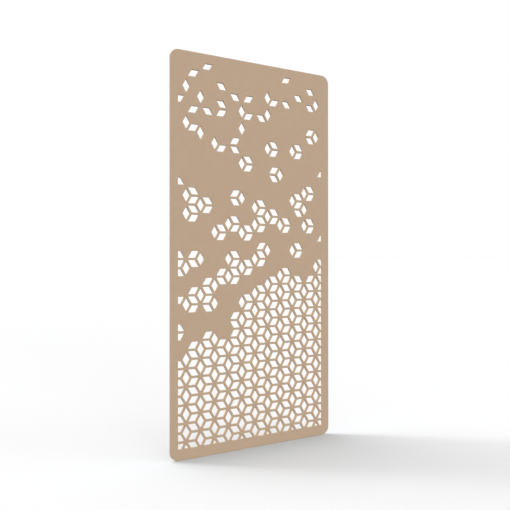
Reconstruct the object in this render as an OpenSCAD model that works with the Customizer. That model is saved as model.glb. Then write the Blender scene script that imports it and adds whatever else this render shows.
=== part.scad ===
// Hanging acoustic screen: one tall board of pressed felt, cut through with a
// tumbling-block pattern that is dense at the foot and thins out towards the top.
// Two threaded sleeves, sunk flush in the top edge, take the suspension fittings.
//
// Frame: X along the width, +Z up, and the front faces -Y. The origin lies midway
// between the two hanging points, on the top edge and halfway through the board.

/* [Board] */
// Width of the board
panel_w = 1130; // [700:5:1200]
// Height of the board
panel_h = 2400; // [1800:10:2700]
// Thickness of the board
panel_t = 12; // [11:0.5:24]
// Radius of the board's four corners
corner_r = 53; // [10:1:120]

/* [Cut-out pattern] */
// Edge of one lozenge, measured between rib centre lines
lozenge_edge = 61.9; // [52:0.1:72]
// Width of the felt rib left between two lozenges
rib_w = 13.4; // [6:0.2:24]
// Height of the lattice's base row above the board's lower edge
base_row_h = 103; // [80:1:160]
// Solid margin at the left of the pattern
margin_left = 49; // [25:0.5:90]
// Solid margin at the right of the pattern
margin_right = 54; // [25:0.5:90]
// Solid margin above the pattern
margin_top = 57.5; // [40:0.5:90]
// Solid margin below the pattern
margin_bottom = 63; // [25:0.5:100]

/* [Hanging sleeves] */
// Distance of each hanging point from the board's nearer side edge
hang_inset = 200; // [80:5:300]
// Core diameter of the sleeve's M5 thread
thread_core_d = 4.2; // [3.2:0.1:5]
// Depth of the thread below the top edge
thread_depth = 24; // [10:1:28]
// Diameter of the sleeve's barrel
barrel_d = 7.5; // [6.6:0.1:8]
// Length of the sleeve with its flange
sleeve_len = 30; // [29:1:36]
// Diameter of the sleeve's flange
flange_d = 9.6; // [9:0.1:10.5]
// Thickness of the sleeve's flange
flange_t = 1.2; // [0.8:0.1:2]
// Depth of the glue grooves round the barrel
groove_depth = 0.6; // [0.3:0.1:0.8]
// Width of each glue groove
groove_w = 1.6; // [1:0.1:2.5]
// Glue gap between a sleeve and its socket in the felt
glue_gap = 0.1; // [0.05:0.05:0.2]

/* [Hidden] */

FELT = [0.74, 0.64, 0.53];
STEEL = [0.72, 0.73, 0.75];

// The narrow angle of a lozenge. Its edges leave a star point at multiples of it.
LOZENGE_ANGLE = 60;

// The lattice has columns of star points, at which six lozenges can meet. Columns
// are 1.5 edges apart and rows half a lozenge's long diagonal. A star point has a
// column and a row that are both even or both odd. This column is on the centre line.
CENTRE_COLUMN = 5;
column_pitch = (1 + cos(LOZENGE_ANGLE)) * lozenge_edge;
row_pitch = sin(LOZENGE_ANGLE) * lozenge_edge;

// A lozenge is named by the turn of its first edge at its star point.
RISING = 0;
UPRIGHT = LOZENGE_ANGLE;
FALLING = -LOZENGE_ANGLE;

// How much of its lattice cell a lozenge keeps once half a rib is taken off each side
open_share = 1 - rib_w / row_pitch;

// The dense field: each column, from the left, is filled with blocks up to this row.
FIRST_COLUMN = -1;
FIELD_TOP = [7, 8, 9, 8, 9, 14, 15, 16, 17, 16, 15, 18];
FIELD_FOOT = -4;

// Above it, blocks and single lozenges are placed one by one, as [column, row].
LOOSE_BLOCKS = [
    [0, 14], [0, 24], [0, 26], [1, 15], [1, 25], [2, 22], [3, 17], [3, 19],
    [3, 23], [4, 18], [4, 22], [4, 30], [5, 19], [5, 23], [5, 25], [6, 24],
    [6, 32], [7, 23], [8, 20], [8, 26], [8, 32], [9, 23], [9, 27],
];
LOOSE_UPRIGHT = [
    [0, 18], [0, 34], [0, 38], [1, 19], [1, 33], [1, 37], [2, 10], [2, 14],
    [2, 16], [2, 32], [4, 26], [4, 34], [4, 36], [6, 20], [6, 36], [6, 38],
    [7, 29], [9, 25], [10, 34], [10, 38],
];
LOOSE_RISING = [
    [-1, 11], [-1, 15], [-1, 19], [-1, 37], [0, 10], [0, 16], [0, 20], [0, 34],
    [0, 36], [0, 40], [1, 11], [1, 17], [1, 41], [2, 10], [2, 18], [2, 32],
    [2, 36], [3, 11], [3, 13], [3, 27], [3, 33], [4, 36], [4, 38], [5, 21],
    [6, 30], [6, 38], [7, 41], [9, 17], [9, 35], [10, 22], [10, 30],
];
LOOSE_FALLING = [
    [-1, 13], [-1, 19], [-1, 21], [-1, 29], [0, 20], [1, 15], [1, 37], [2, 18],
    [2, 38], [2, 40], [3, 13], [3, 27], [3, 33], [3, 39], [5, 37], [6, 30],
    [7, 39], [8, 26], [8, 40], [9, 35], [9, 39], [9, 41],
];

// Sleeve details that follow from its sizes
hang_x = panel_w / 2 - hang_inset;
socket_depth = sleeve_len + glue_gap;
thread_lead = 0.5;
barrel_lead = 0.8;
GROOVES = 5;
groove_pitch = (sleeve_len - flange_t) / (GROOVES + 1);

function edge(turn) = lozenge_edge * [cos(turn), sin(turn)];

function star_point(place) = [
    (place[0] - CENTRE_COLUMN) * column_pitch,
    base_row_h - panel_h + place[1] * row_pitch,
];

// One lozenge opening, spanned by two neighbouring edges that leave its star point
module lozenge(place, turn) {
    a = edge(turn) / 2;
    b = edge(turn + LOZENGE_ANGLE) / 2;
    translate(star_point(place) + a + b)
        polygon([for (side = [[-1, -1], [1, -1], [1, 1], [-1, 1]])
            open_share * (side[0] * a + side[1] * b)]);
}

// Three lozenges round one point, which read as a cube
module block(place) {
    lozenge(place, UPRIGHT);
    lozenge(place, RISING);
    lozenge(place + [0, 2], FALLING);
}

// The dense field at the foot of the screen. A column starts on a row of its own parity.
module dense_field() {
    for (i = [0 : len(FIELD_TOP) - 1]) {
        column = FIRST_COLUMN + i;
        foot = FIELD_FOOT + abs(column % 2);
        for (row = [foot : 2 : FIELD_TOP[i]])
            block([column, row]);
    }
}

module loose_lozenges() {
    for (place = LOOSE_BLOCKS) block(place);
    for (place = LOOSE_UPRIGHT) lozenge(place, UPRIGHT);
    for (place = LOOSE_RISING) lozenge(place, RISING);
    for (place = LOOSE_FALLING) lozenge(place, FALLING);
}

// The straight-sided window inside the margins, which trims the outer lozenges
module pattern_window() {
    translate([margin_left - panel_w / 2, margin_bottom - panel_h])
        square([panel_w - margin_left - margin_right, panel_h - margin_top - margin_bottom]);
}

module board_outline() {
    translate([corner_r - panel_w / 2, -panel_h])
        square([panel_w - 2 * corner_r, panel_h]);
    translate([-panel_w / 2, corner_r - panel_h])
        square([panel_w, panel_h - 2 * corner_r]);
    for (x = [corner_r - panel_w / 2, panel_w / 2 - corner_r])
        for (z = [corner_r - panel_h, -corner_r])
            translate([x, z])
                circle(r = corner_r, $fn = 96);
}

// The round stepped hole for one sleeve, blind, from the top edge down
module sleeve_socket() {
    translate([0, 0, -socket_depth])
        cylinder(d = barrel_d + 2 * glue_gap, h = socket_depth + 1, $fn = 48);
    translate([0, 0, -flange_t])
        cylinder(d = flange_d + 2 * glue_gap, h = flange_t + 1, $fn = 48);
}

// Glued threaded sleeve: a flanged, grooved barrel with a blind M5 thread
module hanging_sleeve() {
    barrel_r = barrel_d / 2;
    core_r = thread_core_d / 2;
    difference() {
        rotate_extrude($fn = 48)
            difference() {
                union() {
                    translate([0, -flange_t])
                        square([flange_d / 2, flange_t]);
                    polygon([
                        [0, -sleeve_len],
                        [barrel_r - barrel_lead, -sleeve_len],
                        [barrel_r, barrel_lead - sleeve_len],
                        [barrel_r, -flange_t],
                        [0, -flange_t],
                    ]);
                }
                for (i = [1 : GROOVES])
                    translate([barrel_r - groove_depth, -flange_t - i * groove_pitch - groove_w / 2])
                        square([groove_depth + 1, groove_w]);
            }
        translate([0, 0, -thread_depth])
            cylinder(r = core_r, h = thread_depth + 1, $fn = 48);
        translate([0, 0, -thread_lead])
            cylinder(r1 = core_r, r2 = core_r + 2 * thread_lead, h = 2 * thread_lead, $fn = 48);
    }
}

module screen_panel() {
    color(FELT)
        difference() {
            rotate([90, 0, 0])
                linear_extrude(height = panel_t, center = true)
                    difference() {
                        board_outline();
                        intersection() {
                            pattern_window();
                            union() {
                                dense_field();
                                loose_lozenges();
                            }
                        }
                    }
            for (x = [-hang_x, hang_x])
                translate([x, 0, 0])
                    sleeve_socket();
        }
}

module hanging_sleeve_left() {
    color(STEEL)
        translate([-hang_x, 0, 0])
            hanging_sleeve();
}

module hanging_sleeve_right() {
    color(STEEL)
        translate([hang_x, 0, 0])
            hanging_sleeve();
}

screen_panel();
hanging_sleeve_left();
hanging_sleeve_right();
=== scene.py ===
"""Looks of the hanging acoustic screen: a board of pressed felt cut through with tumbling blocks,
and the two threaded steel sleeves sunk in its top edge.

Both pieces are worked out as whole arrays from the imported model's nodes, so they stand where the
CAD stands. All lengths are metres: X along the width, +Z up, and the front faces -Y."""

import math

import bpy
import numpy as np
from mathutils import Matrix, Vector
from mathutils.geometry import delaunay_2d_cdt


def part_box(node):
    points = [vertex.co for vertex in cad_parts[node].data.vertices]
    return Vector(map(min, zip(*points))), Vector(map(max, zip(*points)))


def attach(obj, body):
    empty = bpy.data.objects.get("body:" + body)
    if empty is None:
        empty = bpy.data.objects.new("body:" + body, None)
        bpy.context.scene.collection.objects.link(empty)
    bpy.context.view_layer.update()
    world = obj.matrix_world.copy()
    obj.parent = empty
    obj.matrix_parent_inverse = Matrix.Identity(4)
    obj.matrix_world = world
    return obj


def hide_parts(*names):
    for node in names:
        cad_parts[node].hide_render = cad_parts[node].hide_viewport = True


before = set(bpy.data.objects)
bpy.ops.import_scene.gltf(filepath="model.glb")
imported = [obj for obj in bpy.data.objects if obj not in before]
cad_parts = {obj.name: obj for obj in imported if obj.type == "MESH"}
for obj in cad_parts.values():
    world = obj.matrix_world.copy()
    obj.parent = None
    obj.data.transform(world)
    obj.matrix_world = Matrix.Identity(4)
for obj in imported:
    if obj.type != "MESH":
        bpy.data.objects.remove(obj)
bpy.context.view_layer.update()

MM = 0.001

# Sizes of the fine trim, and those of the CAD that its boxes don't give
ARRIS_R = 0.8 * MM
ARRIS_STEPS = 4
EDGE_SUPPORT = 0.2 * MM
WELD_STEP = 0.01 * MM
GLUE_GAP = 0.1 * MM
FLANGE_T = 1.2 * MM
BARREL_R = 3.75 * MM
BARREL_LEAD = 0.8 * MM
GROOVE_DEPTH = 0.6 * MM
GROOVE_W = 1.6 * MM
GROOVE_FLOOR_SHARE = 0.8
GROOVES = 5
THREAD_PITCH = 0.8 * MM
THREAD_CORE_R = 2.1 * MM
THREAD_RISE = 0.35 * MM
THREAD_DEPTH = 24 * MM
FADE_TURNS = 2
STATIONS_PER_PITCH = 8
BORE_TIP = 1.2 * MM
MOUTH_CHAMFER = 0.5 * MM
RIM_CHAMFER = 0.15 * MM
CUT_OVERSHOOT = 1 * MM

# Corners of a sleeve's round, and the angle in degrees from which an edge is shaded sharp
AROUND = 48
SHARP_FROM = 35

# Colours as they are seen on a screen, 0 to 255
FELT = (187, 162, 136)
PALE_FIBRE = (216, 196, 172)
DARK_FIBRE = (148, 123, 98)
CUT_LAYER = (165, 138, 112)
ZINC = (186, 190, 194)
TOOL_RING = (158, 163, 170)

# Two sets of pale fibres and two of dark ones, each with the turn of its streaks, and their length,
# width and fineness
PALE_FIBRES = ((0.35, 7 * MM, 0.60 * MM, 0.045), (1.75, 9 * MM, 0.70 * MM, 0.040))
DARK_FIBRES = ((-0.75, 6 * MM, 0.50 * MM, 0.035), (1.05, 8 * MM, 0.65 * MM, 0.030))
GRAIN_SIZE = 0.7 * MM
DRIFT_SIZE = 38 * MM
LAYER_LENGTH = 45 * MM
LAYER_THICKNESS = 0.8 * MM

# How much each of them tints the felt, and how far it stands out of the felt, in bump heights
PALE_TINT = 0.45
DARK_TINT = 0.5
GRAIN_TINT = 0.16
LAYER_TINT = 0.4
DRIFT_TINT = 0.022
PALE_RISE = 0.5
DARK_RISE = -0.35
GRAIN_RISE = 0.9
LAYER_RISE = 1.4
FELT_BUMP = 0.12 * MM

# The marks on the steel
RING_WIDTH = 0.22 * MM
RING_TINT = 0.3
RING_BUMP = 0.02 * MM
PLATE_DRIFT_SIZE = 3 * MM

# The camera is level with the middle of the screen and to the left of it, 3.7 m from its centre.
# Its turn is in degrees.
CAMERA_AT = (-1.7974, -3.1836, -1.213)
CAMERA_TURN = (90.187, 0.038, -29.473)
CAMERA_LENS = 41.192

# The studio. The floor is seen in one tone, with a painted shade along the screen's foot: a
# painted contact shadow, darker and cooler there, which also cancels the warm light that the felt
# throws on the floor. The floor throws no light back, so the downward walls of the cut-outs
# stay dark. The dome is the even light of the white world. A lamp has an azimuth from +X to +Y, an
# elevation and a radius in degrees, and a level.
FLOOR_TONE = (0.669, 0.670, 0.675, 1.0)
# Painted shade: the darker, cooler floor tone along the screen's foot, and how far it reaches
FLOOR_PAINTED_SHADE_TONE = (0.623, 0.656, 0.675, 1.0)
FLOOR_PAINTED_SHADE_REACH = 0.195
FLOOR_REACH = 400.0
FLOOR_DROP = 1 * MM
DOME = 0.813
LAMPS = {
    "back_left_low": (140, 14, 7, 0.744),
    "back_left_middle": (144, 38, 5, 0.084),
    "back_left_high": (144, 56, 14, 0.138),
    "back_high": (120, 50, 10, 0.073),
    "overhead": (120, 76, 10, 0.148),
    "front_left_low": (240, 5, 20, 0.079),
    "front_low": (270, 5, 20, 0.613),
    "front_right_low": (320, 15, 12, 0.203),
}


# Meshes

def write_mesh(name, points, *face_groups):
    """A mesh from an array of points and arrays of faces, one array for each number of corners."""
    mesh = bpy.data.meshes.new(name)
    corners = np.concatenate([g.ravel() for g in face_groups]).astype(np.int32)
    sizes = np.concatenate([np.full(len(g), g.shape[1]) for g in face_groups]).astype(np.int32)
    mesh.vertices.add(len(points))
    mesh.vertices.foreach_set("co", np.ascontiguousarray(points, np.float32).ravel())
    mesh.loops.add(len(corners))
    mesh.loops.foreach_set("vertex_index", corners)
    mesh.polygons.add(len(sizes))
    starts = np.concatenate([[0], np.cumsum(sizes)[:-1]]).astype(np.int32)
    mesh.polygons.foreach_set("loop_start", starts)
    mesh.update(calc_edges=True)
    mesh.validate()
    return mesh


def new_object(name, mesh):
    made = bpy.data.objects.new(name, mesh)
    bpy.context.scene.collection.objects.link(made)
    return made


def smooth(mesh):
    """Smooth shading that breaks at every edge sharper than SHARP_FROM degrees."""
    mesh.polygons.foreach_set("use_smooth", np.ones(len(mesh.polygons), bool))
    mesh.set_sharp_from_angle(angle=math.radians(SHARP_FROM))
    mesh.update()


def turned(radii, heights, centre):
    """A surface of revolution with two parameters, the station s along the profile and the angle t:
    centre + (r(s, t) cos t, r(s, t) sin t, z(s)). radii is an array of stations by angles, and the
    profile runs from the foot of the axis, up the outside, and down the bore to the axis again.
    The first and last stations are the poles, closed by fans."""
    stations, around = radii.shape
    angle = np.arange(around) / around * 2 * math.pi
    ring = np.stack([radii * np.cos(angle), radii * np.sin(angle),
                     np.broadcast_to(heights[:, None], radii.shape)], axis=-1)
    points = np.concatenate([ring[1:-1].reshape(-1, 3), [[0, 0, heights[0]], [0, 0, heights[-1]]]])
    s, t = np.meshgrid(np.arange(stations - 3), np.arange(around), indexing="ij")
    after = (t + 1) % around
    quads = np.stack([s * around + t, s * around + after,
                      (s + 1) * around + after, (s + 1) * around + t], axis=-1).reshape(-1, 4)
    t, after = t[0], after[0]
    last = (stations - 3) * around
    foot, top = (stations - 2) * around, (stations - 2) * around + 1
    fans = np.concatenate([
        np.stack([np.full(around, foot), after, t], axis=-1),
        np.stack([np.full(around, top), last + t, last + after], axis=-1)])
    return points + np.array(centre), quads, fans


# The felt board

def border_of_face(node, y):
    """The corners of the node's flat face at depth y, as an array of (x, z), with the index of the
    corner after and before each one along its border.

    The node's loose triangles are welded by rounding to WELD_STEP. An edge of the face that no
    other triangle of the face runs the other way is a border, with the felt on its left."""
    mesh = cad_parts[node].data
    mesh.calc_loop_triangles()
    points = np.empty(len(mesh.vertices) * 3, np.float32)
    mesh.vertices.foreach_get("co", points)
    triangles = np.empty(len(mesh.loop_triangles) * 3, np.int32)
    mesh.loop_triangles.foreach_get("vertices", triangles)
    spots, weld = np.unique(np.round(points.reshape(-1, 3) / WELD_STEP).astype(np.int64),
                            axis=0, return_inverse=True)
    spots = spots * WELD_STEP
    triangles = weld.ravel()[triangles].reshape(-1, 3)
    face = triangles[(np.abs(spots[triangles][:, :, 1] - y) < 5 * WELD_STEP).all(axis=1)]
    edges = np.concatenate([face[:, [0, 1]], face[:, [1, 2]], face[:, [2, 0]]])
    count = len(spots)
    border = edges[~np.isin(edges[:, 0] * count + edges[:, 1], edges[:, 1] * count + edges[:, 0])]
    used, place = np.unique(border, return_inverse=True)
    start, end = place.reshape(-1, 2).T
    after, before = np.empty(len(used), int), np.empty(len(used), int)
    after[start], before[end] = end, start
    return spots[used][:, [0, 2]], after, before


def inside(places, corners, after):
    """Whether each place lies in the felt: a line from it to the right crosses the border an odd
    number of times."""
    (ax, az), (bx, bz) = corners.T, corners[after].T
    x, z = places[:, :1], places[:, 1:]
    spans = (az > z) != (bz > z)
    with np.errstate(divide="ignore", invalid="ignore"):
        crossing = ax + (z - az) / (bz - az) * (bx - ax)
    return (spans & (crossing > x)).sum(axis=1) % 2 == 1


def felt_board_mesh():
    """The board, as one profile carried along its outline and round every cut-out.

    At a border corner P the directions before and after it have left normals n0 and n1, which point
    into the felt, and the mitre is m = (n0 + n1) / (1 + n0.n1). Station k of the profile puts a
    point at P + inset_k m, at depth y_k. The profile is flat face, a quarter circle of the arris
    radius, straight wall, and the same again to the back face."""
    lowest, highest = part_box("screen_panel")
    half = highest.y
    corners, after, before = border_of_face("screen_panel", -half)
    ahead = corners[after] - corners
    ahead /= np.linalg.norm(ahead, axis=1, keepdims=True)
    left = np.stack([-ahead[:, 1], ahead[:, 0]], axis=1)
    n0, n1 = left[before], left
    mitre = (n0 + n1) / (1 + (n0 * n1).sum(axis=1, keepdims=True))

    bend = np.linspace(0, math.pi / 2, ARRIS_STEPS + 1)
    inset = np.concatenate([[ARRIS_R + EDGE_SUPPORT], ARRIS_R * (1 - np.sin(bend)), [0]])
    depth = np.concatenate([[half], half - ARRIS_R * (1 - np.cos(bend)),
                            [half - ARRIS_R - EDGE_SUPPORT]])
    inset = np.concatenate([inset, inset[::-1]])
    depth = np.concatenate([-depth, depth[::-1]])
    flat = corners[None] + inset[:, None, None] * mitre[None]
    points = np.stack([flat[..., 0], np.broadcast_to(depth[:, None], flat.shape[:2]), flat[..., 1]],
                      axis=-1).reshape(-1, 3)

    count, stations = len(corners), len(inset)
    k, i = np.meshgrid(np.arange(stations - 1), np.arange(count), indexing="ij")
    walls = np.stack([k * count + i, (k + 1) * count + i,
                      (k + 1) * count + after[i], k * count + after[i]], axis=-1).reshape(-1, 4)

    rim = flat[0]
    sides = np.stack([np.arange(count), after], axis=1).tolist()
    made = delaunay_2d_cdt([Vector(p) for p in rim], sides, [], 0, 1e-7)
    order = np.concatenate(made[3])
    fill = order[np.array(made[2])]
    fill = fill[inside(rim[fill].mean(axis=1), rim, after)]
    back = fill[:, ::-1] + (stations - 1) * count
    return write_mesh("felt_board", points, walls, fill, back)


def sleeve_place(node):
    """The flange's radius, the length, and the middle of the top end of one packed sleeve."""
    lowest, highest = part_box(node)
    centre = ((lowest.x + highest.x) / 2, (lowest.y + highest.y) / 2, highest.z)
    return (highest.x - lowest.x) / 2, highest.z - lowest.z, centre


def socket_cutter():
    """The two stepped round sockets for the sleeves, a glue gap wider and deeper than each one."""
    parts = [], [], []
    for name in ("hanging_sleeve_left", "hanging_sleeve_right"):
        flange_r, length, centre = sleeve_place(name)
        depth = length + GLUE_GAP
        wide, narrow = flange_r + GLUE_GAP, BARREL_R + GLUE_GAP
        profile = np.array([[0, -depth], [narrow, -depth], [narrow, -FLANGE_T],
                            [wide, -FLANGE_T], [wide, CUT_OVERSHOOT], [0, CUT_OVERSHOOT]])
        radii = np.repeat(profile[:, :1], AROUND, axis=1)
        points, quads, fans = turned(radii, profile[:, 1], centre)
        start = sum(len(p) for p in parts[0])
        for kept, made in zip(parts, (points, quads + start, fans + start)):
            kept.append(made)
    return write_mesh("socket_cutter", *(np.concatenate(kept) for kept in parts))


def felt_board():
    """The board with both sockets cut into its top edge."""
    board = new_object("felt_board", felt_board_mesh())
    cutter = new_object("socket_cutter", socket_cutter())
    cut = board.modifiers.new("sockets", "BOOLEAN")
    cut.operation, cut.solver, cut.object = "DIFFERENCE", "EXACT", cutter
    plain = board.data
    shown = board.evaluated_get(bpy.context.evaluated_depsgraph_get())
    board.data = bpy.data.meshes.new_from_object(shown)
    board.data.name = "felt_board"
    board.modifiers.clear()
    cutter_mesh = cutter.data
    bpy.data.objects.remove(cutter)
    bpy.data.meshes.remove(cutter_mesh)
    bpy.data.meshes.remove(plain)
    smooth(board.data)
    return board


# The hanging sleeves

def threaded_sleeve(name, node):
    """One sleeve turned about its axis: a flange, a grooved barrel and a blind threaded bore.

    The profile is a list of (radius, height) stations. In the bore the radius is
    core + rise * wave(z / pitch - t / 2 pi). The wave runs from crest to root and back once in
    each pitch, and stays flat for a quarter of the pitch at both. The rise fades out over the
    lowest FADE_TURNS turns."""
    flange_r, length, centre = sleeve_place(node)
    pitch_of_grooves = (length - FLANGE_T) / (GROOVES + 1)
    middles = -FLANGE_T - pitch_of_grooves * np.arange(GROOVES, 0, -1)
    floor_r = BARREL_R - GROOVE_DEPTH
    flanks = np.array([-1, -GROOVE_FLOOR_SHARE, GROOVE_FLOOR_SHARE, 1])
    grooves = np.stack([
        np.tile([BARREL_R, floor_r, floor_r, BARREL_R], GROOVES),
        (middles[:, None] + GROOVE_W / 2 * flanks).ravel()], axis=1)
    outside = np.concatenate([
        [[0, -length], [BARREL_R - BARREL_LEAD, -length], [BARREL_R, BARREL_LEAD - length]],
        grooves,
        [[BARREL_R, -FLANGE_T], [flange_r - RIM_CHAMFER, -FLANGE_T],
         [flange_r, RIM_CHAMFER - FLANGE_T], [flange_r, -RIM_CHAMFER],
         [flange_r - RIM_CHAMFER, 0],
         [THREAD_CORE_R + THREAD_RISE + MOUTH_CHAMFER, 0]]])
    turns = (THREAD_DEPTH - MOUTH_CHAMFER) / THREAD_PITCH
    bore_z = -np.linspace(MOUTH_CHAMFER, THREAD_DEPTH, int(turns * STATIONS_PER_PITCH))
    phase = bore_z[:, None] / THREAD_PITCH - np.arange(AROUND)[None] / AROUND
    wave = np.clip(1.5 - 4 * np.abs(phase % 1 - 0.5), 0, 1)
    fade = np.clip((THREAD_DEPTH + bore_z) / THREAD_PITCH / FADE_TURNS, 0, 1)[:, None]
    bore = THREAD_CORE_R + THREAD_RISE * wave * fade
    tip = np.array([[THREAD_CORE_R / 2, -THREAD_DEPTH - BORE_TIP / 2],
                    [0, -THREAD_DEPTH - BORE_TIP]])
    radii = np.concatenate([np.repeat(outside[:, :1], AROUND, axis=1), bore,
                            np.repeat(tip[:, :1], AROUND, axis=1)])
    heights = np.concatenate([outside[:, 1], bore_z, tip[:, 1]])
    sleeve = new_object(name, write_mesh(name, *turned(radii, heights, centre)))
    smooth(sleeve.data)
    return sleeve


# Shader nodes

def place(tree, kind, settings=None, **sockets):
    """A node with its settings, and each named socket linked or set. A socket's name has _ for a
    space, and in0, in1 and so on are the inputs with those numbers."""
    node = tree.nodes.new("ShaderNode" + kind)
    for name, value in (settings or {}).items():
        setattr(node, name, value)
    for name, value in sockets.items():
        number = name[2:] if name.startswith("in") and name[2:].isdigit() else None
        socket = node.inputs[int(number)] if number else node.inputs[name.replace("_", " ")]
        if isinstance(value, bpy.types.NodeSocket):
            tree.links.new(value, socket)
        else:
            socket.default_value = value
    return node


def maths(tree, operation, first, second=0.0, third=0.0, clamp=False):
    return place(tree, "Math", {"operation": operation, "use_clamp": clamp},
                 in0=first, in1=second, in2=third).outputs[0]


def blend_colours(tree, share, below, above, kind="MIX"):
    """Mixes two colours. Inputs 6 and 7 and output 2 of a Mix node are its colour ones."""
    settings = {"data_type": "RGBA", "blend_type": kind}
    return place(tree, "Mix", settings, in0=share, in6=below, in7=above).outputs[2]


def times_tone(tree, colour, tone):
    """A colour multiplied by a tone that varies about 1."""
    grey = place(tree, "CombineXYZ", X=tone, Y=tone, Z=tone).outputs[0]
    return blend_colours(tree, 1.0, colour, grey, "MULTIPLY")


def new_group(name, inputs, outputs):
    tree = bpy.data.node_groups.new(name, "ShaderNodeTree")
    for label, kind, value in inputs:
        socket = tree.interface.new_socket(label, in_out="INPUT", socket_type="NodeSocket" + kind)
        socket.default_value = value
    for label, kind in outputs:
        tree.interface.new_socket(label, in_out="OUTPUT", socket_type="NodeSocket" + kind)
    return tree, tree.nodes.new("NodeGroupInput").outputs, tree.nodes.new("NodeGroupOutput").inputs


def streaks_group():
    """Fine lines that run along one direction of the XZ plane. The position is turned about Y and
    divided by the streaks' length and width, so a plain noise on it is drawn out, and the lines are
    where that noise passes through its middle value."""
    tree, given, out = new_group("streaks", [
        ("Position", "Vector", (0, 0, 0)), ("Turn", "Float", 0.0), ("Length", "Float", 0.01),
        ("Width", "Float", 0.001), ("Fineness", "Float", 0.08)], [("Mask", "Float")])
    turned_by = place(tree, "VectorRotate", {"rotation_type": "Y_AXIS"},
                      Vector=given["Position"], Angle=given["Turn"])
    along = maths(tree, "DIVIDE", 1.0, given["Length"])
    across = maths(tree, "DIVIDE", 1.0, given["Width"])
    scale = place(tree, "CombineXYZ", X=along, Y=across, Z=across)
    drawn = place(tree, "VectorMath", {"operation": "MULTIPLY"},
                  in0=turned_by.outputs[0], in1=scale.outputs[0])
    noise = place(tree, "TexNoise", Vector=drawn.outputs[0], Scale=1.0, Detail=2.0, Roughness=0.45)
    off = maths(tree, "ABSOLUTE", maths(tree, "SUBTRACT", noise.outputs[0], 0.5))
    mask = maths(tree, "SUBTRACT", 1.0, maths(tree, "DIVIDE", off, given["Fineness"]), clamp=True)
    tree.links.new(mask, out["Mask"])
    return tree


def drift_group():
    """A slow change of tone over a surface, from two sizes of noise, about 1 on average."""
    tree, given, out = new_group("tone drift", [
        ("Position", "Vector", (0, 0, 0)), ("Size", "Float", 0.03), ("Amount", "Float", 0.03)],
        [("Tone", "Float")])
    scale = maths(tree, "DIVIDE", 1.0, given["Size"])
    broad = place(tree, "TexNoise", Vector=given["Position"], Scale=scale,
                  Detail=3.0, Roughness=0.6)
    span = maths(tree, "MULTIPLY", given["Amount"], 4.0)
    tone = maths(tree, "MULTIPLY_ADD", maths(tree, "SUBTRACT", broad.outputs[0], 0.5), span, 1.0)
    tree.links.new(tone, out["Tone"])
    return tree


STREAKS = streaks_group()
DRIFT = drift_group()


def use_group(tree, group, **sockets):
    return place(tree, "Group", {"node_tree": group}, **sockets).outputs[0]


def new_material(name, **values):
    """A material with its Principled BSDF, whose constant values sit on its own sockets."""
    material = bpy.data.materials.new(name)
    material.use_nodes = True
    tree = material.node_tree
    shader = tree.nodes["Principled BSDF"]
    for label, value in values.items():
        shader.inputs[label.replace("_", " ")].default_value = value
    return material, tree, shader


def linear(red, green, blue):
    """A colour as it is seen on a screen, 0 to 255, as the linear values that shaders take."""
    seen = np.array([red, green, blue]) / 255
    return (*np.where(seen <= 0.04045, seen / 12.92, ((seen + 0.055) / 1.055) ** 2.4).tolist(), 1.0)


def fibres(tree, here, kinds):
    """Two sets of streaks laid over each other, 1 where there is a fibre."""
    first, second = (use_group(tree, STREAKS, Position=here, Turn=turn, Length=length, Width=width,
                               Fineness=fineness) for turn, length, width, fineness in kinds)
    return maths(tree, "MAXIMUM", first, second)


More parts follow.
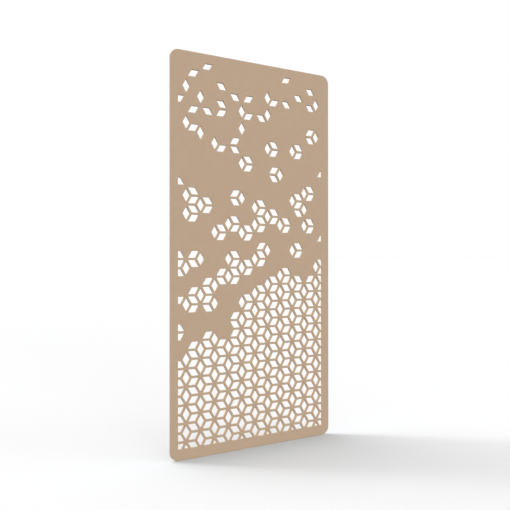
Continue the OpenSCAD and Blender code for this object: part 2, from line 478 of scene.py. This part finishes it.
def pressed_felt(half):
    """Beige needled felt: pale and dark fibres that lie flat in several directions, a slow
    mottling, and fine layers where the board is cut. The cut shows in full wherever |y| is less
    than half the thickness less the arris, so one material follows the faces, arrises and
    walls."""
    material, tree, shader = new_material(
        "pressed_felt", Specular_IOR_Level=0.25, Sheen_Weight=0.12, Sheen_Roughness=0.5,
        Sheen_Tint=(1.0, 0.96, 0.9, 1.0))
    here = place(tree, "TexCoord").outputs["Object"]
    depth = maths(tree, "ABSOLUTE", place(tree, "SeparateXYZ", Vector=here).outputs["Y"])
    cut = place(tree, "MapRange", {"interpolation_type": "SMOOTHSTEP"}, Value=depth,
                From_Min=half, From_Max=half - ARRIS_R, To_Min=0.0, To_Max=1.0).outputs[0]

    pale = fibres(tree, here, PALE_FIBRES)
    dark = fibres(tree, here, DARK_FIBRES)
    grain = place(tree, "TexNoise", Vector=here, Scale=1 / GRAIN_SIZE, Detail=4.0,
                  Roughness=0.65).outputs[0]
    drift = use_group(tree, DRIFT, Position=here, Size=DRIFT_SIZE, Amount=DRIFT_TINT)
    flat = place(tree, "VectorMath", {"operation": "MULTIPLY"}, in0=here,
                 in1=(1 / LAYER_LENGTH, 1 / LAYER_THICKNESS, 1 / LAYER_LENGTH)).outputs[0]
    layers = place(tree, "TexNoise", Vector=flat, Scale=1.0, Detail=3.0, Roughness=0.6).outputs[0]
    layers_shown = place(tree, "MapRange", Value=layers, From_Min=0.35, From_Max=0.7,
                         To_Min=0.0, To_Max=LAYER_TINT).outputs[0]

    pale_share = maths(tree, "MULTIPLY", pale, PALE_TINT)
    dark_share = maths(tree, "MULTIPLY", dark, DARK_TINT)
    layer_share = maths(tree, "MULTIPLY", cut, layers_shown)
    colour = blend_colours(tree, pale_share, linear(*FELT), linear(*PALE_FIBRE))
    colour = blend_colours(tree, dark_share, colour, linear(*DARK_FIBRE))
    colour = blend_colours(tree, layer_share, colour, linear(*CUT_LAYER))
    off = maths(tree, "SUBTRACT", grain, 0.5)
    speck = maths(tree, "MULTIPLY_ADD", off, GRAIN_TINT, drift)
    colour = times_tone(tree, colour, speck)
    tree.links.new(colour, shader.inputs["Base Color"])

    height = maths(tree, "MULTIPLY", grain, GRAIN_RISE)
    height = maths(tree, "MULTIPLY_ADD", pale, PALE_RISE, height)
    height = maths(tree, "MULTIPLY_ADD", dark, DARK_RISE, height)
    cut_layers = maths(tree, "MULTIPLY", layers, cut)
    height = maths(tree, "MULTIPLY_ADD", cut_layers, LAYER_RISE, height)
    bump = place(tree, "Bump", Strength=0.7, Distance=FELT_BUMP, Height=height)
    tree.links.new(bump.outputs[0], shader.inputs["Normal"])
    rough = maths(tree, "MULTIPLY_ADD", grain, 0.12, 0.85)
    tree.links.new(rough, shader.inputs["Roughness"])
    return material


def zinc_steel():
    """Turned steel under a thin zinc plate: rings left by the tool, and a slow change of sheen."""
    material, tree, shader = new_material("zinc_steel", Metallic=1.0)
    here = place(tree, "TexCoord").outputs["Object"]
    height = place(tree, "SeparateXYZ", Vector=here).outputs["Z"]
    rings_at = place(tree, "CombineXYZ", X=0.0, Y=height, Z=height).outputs[0]
    rings = use_group(tree, STREAKS, Position=rings_at, Length=1.0, Width=RING_WIDTH,
                      Fineness=0.12)
    drift = use_group(tree, DRIFT, Position=here, Size=PLATE_DRIFT_SIZE, Amount=0.05)
    ring_share = maths(tree, "MULTIPLY", rings, RING_TINT)
    colour = blend_colours(tree, ring_share, linear(*ZINC), linear(*TOOL_RING))
    tree.links.new(times_tone(tree, colour, drift), shader.inputs["Base Color"])
    rough = maths(tree, "MULTIPLY_ADD", rings, 0.14, maths(tree, "MULTIPLY", drift, 0.3))
    tree.links.new(rough, shader.inputs["Roughness"])
    bump = place(tree, "Bump", Strength=0.3, Distance=RING_BUMP, Height=rings)
    tree.links.new(bump.outputs[0], shader.inputs["Normal"])
    return material


# The floor, the background and the light

def seen_directly(tree):
    """1 for a ray that comes from the camera, a mirror or a glass, 0 for light on a surface."""
    path = place(tree, "LightPath").outputs
    seen = maths(tree, "MAXIMUM", path["Is Camera Ray"], path["Is Glossy Ray"])
    return maths(tree, "MAXIMUM", seen, path["Is Transmission Ray"])


def studio_floor(foot, half_width):
    """A pale floor, just under the screen's foot. Under these lamps it shows white, with the
    screen's shadow on it. Along the foot it has a painted shade, darker and cooler, a painted
    contact shadow that also cancels the warm light from the felt. With n for the reach of that
    painted shade, its share at a distance d from the foot's line is 1 / (1 + (d / n)^2), and that
    line stops short of the screen's sides by n."""
    reach, height = FLOOR_REACH, foot - FLOOR_DROP
    corners = np.array([[-reach, -reach, height], [reach, -reach, height],
                        [reach, reach, height], [-reach, reach, height]])
    floor_mesh = write_mesh("studio_floor", corners, np.array([[0, 1, 2, 3]]))
    floor = new_object("studio_floor", floor_mesh)
    material = bpy.data.materials.new("pale_floor")
    material.use_nodes = True
    tree = material.node_tree
    tree.nodes.clear()
    here = place(tree, "SeparateXYZ", Vector=place(tree, "TexCoord").outputs["Object"]).outputs
    beside = maths(tree, "SUBTRACT", maths(tree, "ABSOLUTE", here["X"]), half_width - FLOOR_PAINTED_SHADE_REACH)
    beside = maths(tree, "MAXIMUM", beside, 0.0)
    away = place(tree, "CombineXYZ", X=beside, Y=here["Y"], Z=0.0).outputs[0]
    away = place(tree, "VectorMath", {"operation": "LENGTH"}, in0=away).outputs["Value"]
    squared = maths(tree, "POWER", maths(tree, "DIVIDE", away, FLOOR_PAINTED_SHADE_REACH), 2.0)
    # Painted shade: the share of the darker, cooler floor tone, highest along the screen's foot
    painted_shade_share = maths(tree, "DIVIDE", 1.0, maths(tree, "ADD", squared, 1.0))
    tone = blend_colours(tree, painted_shade_share, FLOOR_TONE, FLOOR_PAINTED_SHADE_TONE)
    shown = place(tree, "BsdfDiffuse", Color=tone).outputs[0]
    bounced = place(tree, "BsdfDiffuse", Color=(0.0, 0.0, 0.0, 1.0)).outputs[0]
    mixed = place(tree, "MixShader", Fac=seen_directly(tree), in1=bounced, in2=shown)
    out = place(tree, "OutputMaterial")
    tree.links.new(mixed.outputs[0], out.inputs["Surface"])
    floor.data.materials.append(material)


def white_world():
    """White where it is seen, and an even soft light from all round on the surfaces."""
    world = bpy.data.worlds.new("white_studio")
    bpy.context.scene.world = world
    world.use_nodes = True
    tree = world.node_tree
    tree.nodes.clear()
    lit = place(tree, "Background", Color=(1.0, 1.0, 1.0, 1.0), Strength=DOME).outputs[0]
    seen = place(tree, "Background", Color=(1.0, 1.0, 1.0, 1.0), Strength=1.0).outputs[0]
    mixed = place(tree, "MixShader", Fac=seen_directly(tree), in1=lit, in2=seen)
    out = place(tree, "OutputWorld")
    tree.links.new(mixed.outputs[0], out.inputs["Surface"])


def soft_lamp(name, azimuth, elevation, radius, level):
    """A far, broad lamp. Azimuth turns from +X to +Y, radius is half the angle that it fills, and
    level is what it gives a white surface that faces it, where 1 shows as white."""
    lamp = bpy.data.lights.new(name, "SUN")
    lamp.energy = level * math.pi
    lamp.angle = 2 * math.radians(radius)
    made = new_object(name, lamp)
    a, e = math.radians(azimuth), math.radians(elevation)
    towards = Vector((math.cos(e) * math.cos(a), math.cos(e) * math.sin(a), math.sin(e)))
    made.rotation_euler = towards.to_track_quat("Z", "Y").to_euler()


def camera():
    data = bpy.data.cameras.new("camera")
    data.sensor_fit, data.sensor_width, data.lens = "HORIZONTAL", 36.0, CAMERA_LENS
    data.clip_end = 5 * FLOOR_REACH
    made = new_object("camera", data)
    made.location = CAMERA_AT
    made.rotation_euler = [math.radians(turn) for turn in CAMERA_TURN]
    bpy.context.scene.camera = made


camera()

panel_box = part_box("screen_panel")
board = felt_board()
board.data.materials.append(pressed_felt(panel_box[1].y))
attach(board, "root")
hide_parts("screen_panel")

zinc = zinc_steel()
for side in ("left", "right"):
    sleeve = threaded_sleeve("threaded_sleeve_" + side, "hanging_sleeve_" + side)
    sleeve.data.materials.append(zinc)
    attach(sleeve, "root")
    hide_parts("hanging_sleeve_" + side)

studio_floor(panel_box[0].z, panel_box[1].x)
white_world()
for name, facts in LAMPS.items():
    soft_lamp(name, *facts)
bpy.context.scene.view_settings.view_transform = "Standard"
